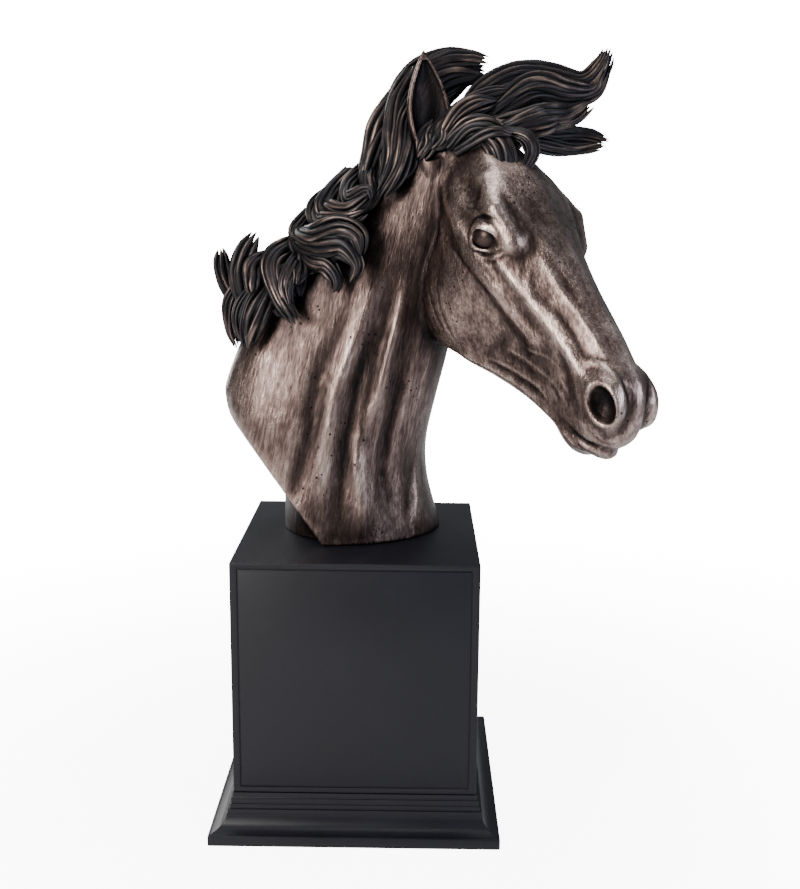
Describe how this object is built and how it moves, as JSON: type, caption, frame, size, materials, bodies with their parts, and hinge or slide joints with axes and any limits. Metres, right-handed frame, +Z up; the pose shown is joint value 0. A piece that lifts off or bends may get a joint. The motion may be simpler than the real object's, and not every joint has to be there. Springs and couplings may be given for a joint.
{
  "type": "horse head bust",
  "caption": "Horse head and neck bust with a windblown mane, cast in one piece, standing on a square plinth with a moulded base.",
  "frame": {"origin": "centre of the underside of the plinth's square base", "axes": "+Z up, +X the way the neck and chest face, -Y the way the head is turned and the side the plinth's front panel is on"},
  "size_m": [0.3262, 0.279, 0.608],
  "materials": {
    "bronze": "cold-cast bronze, dark patina in the hollows, satin on the raised skin",
    "box_paint": "wood painted satin black",
    "base_paint": "wood painted satin black"
  },
  "bodies": {
    "root": {"horse_bust": "bronze", "plinth_box": "box_paint", "plinth_base": "base_paint"}
  },
  "joints": []
}
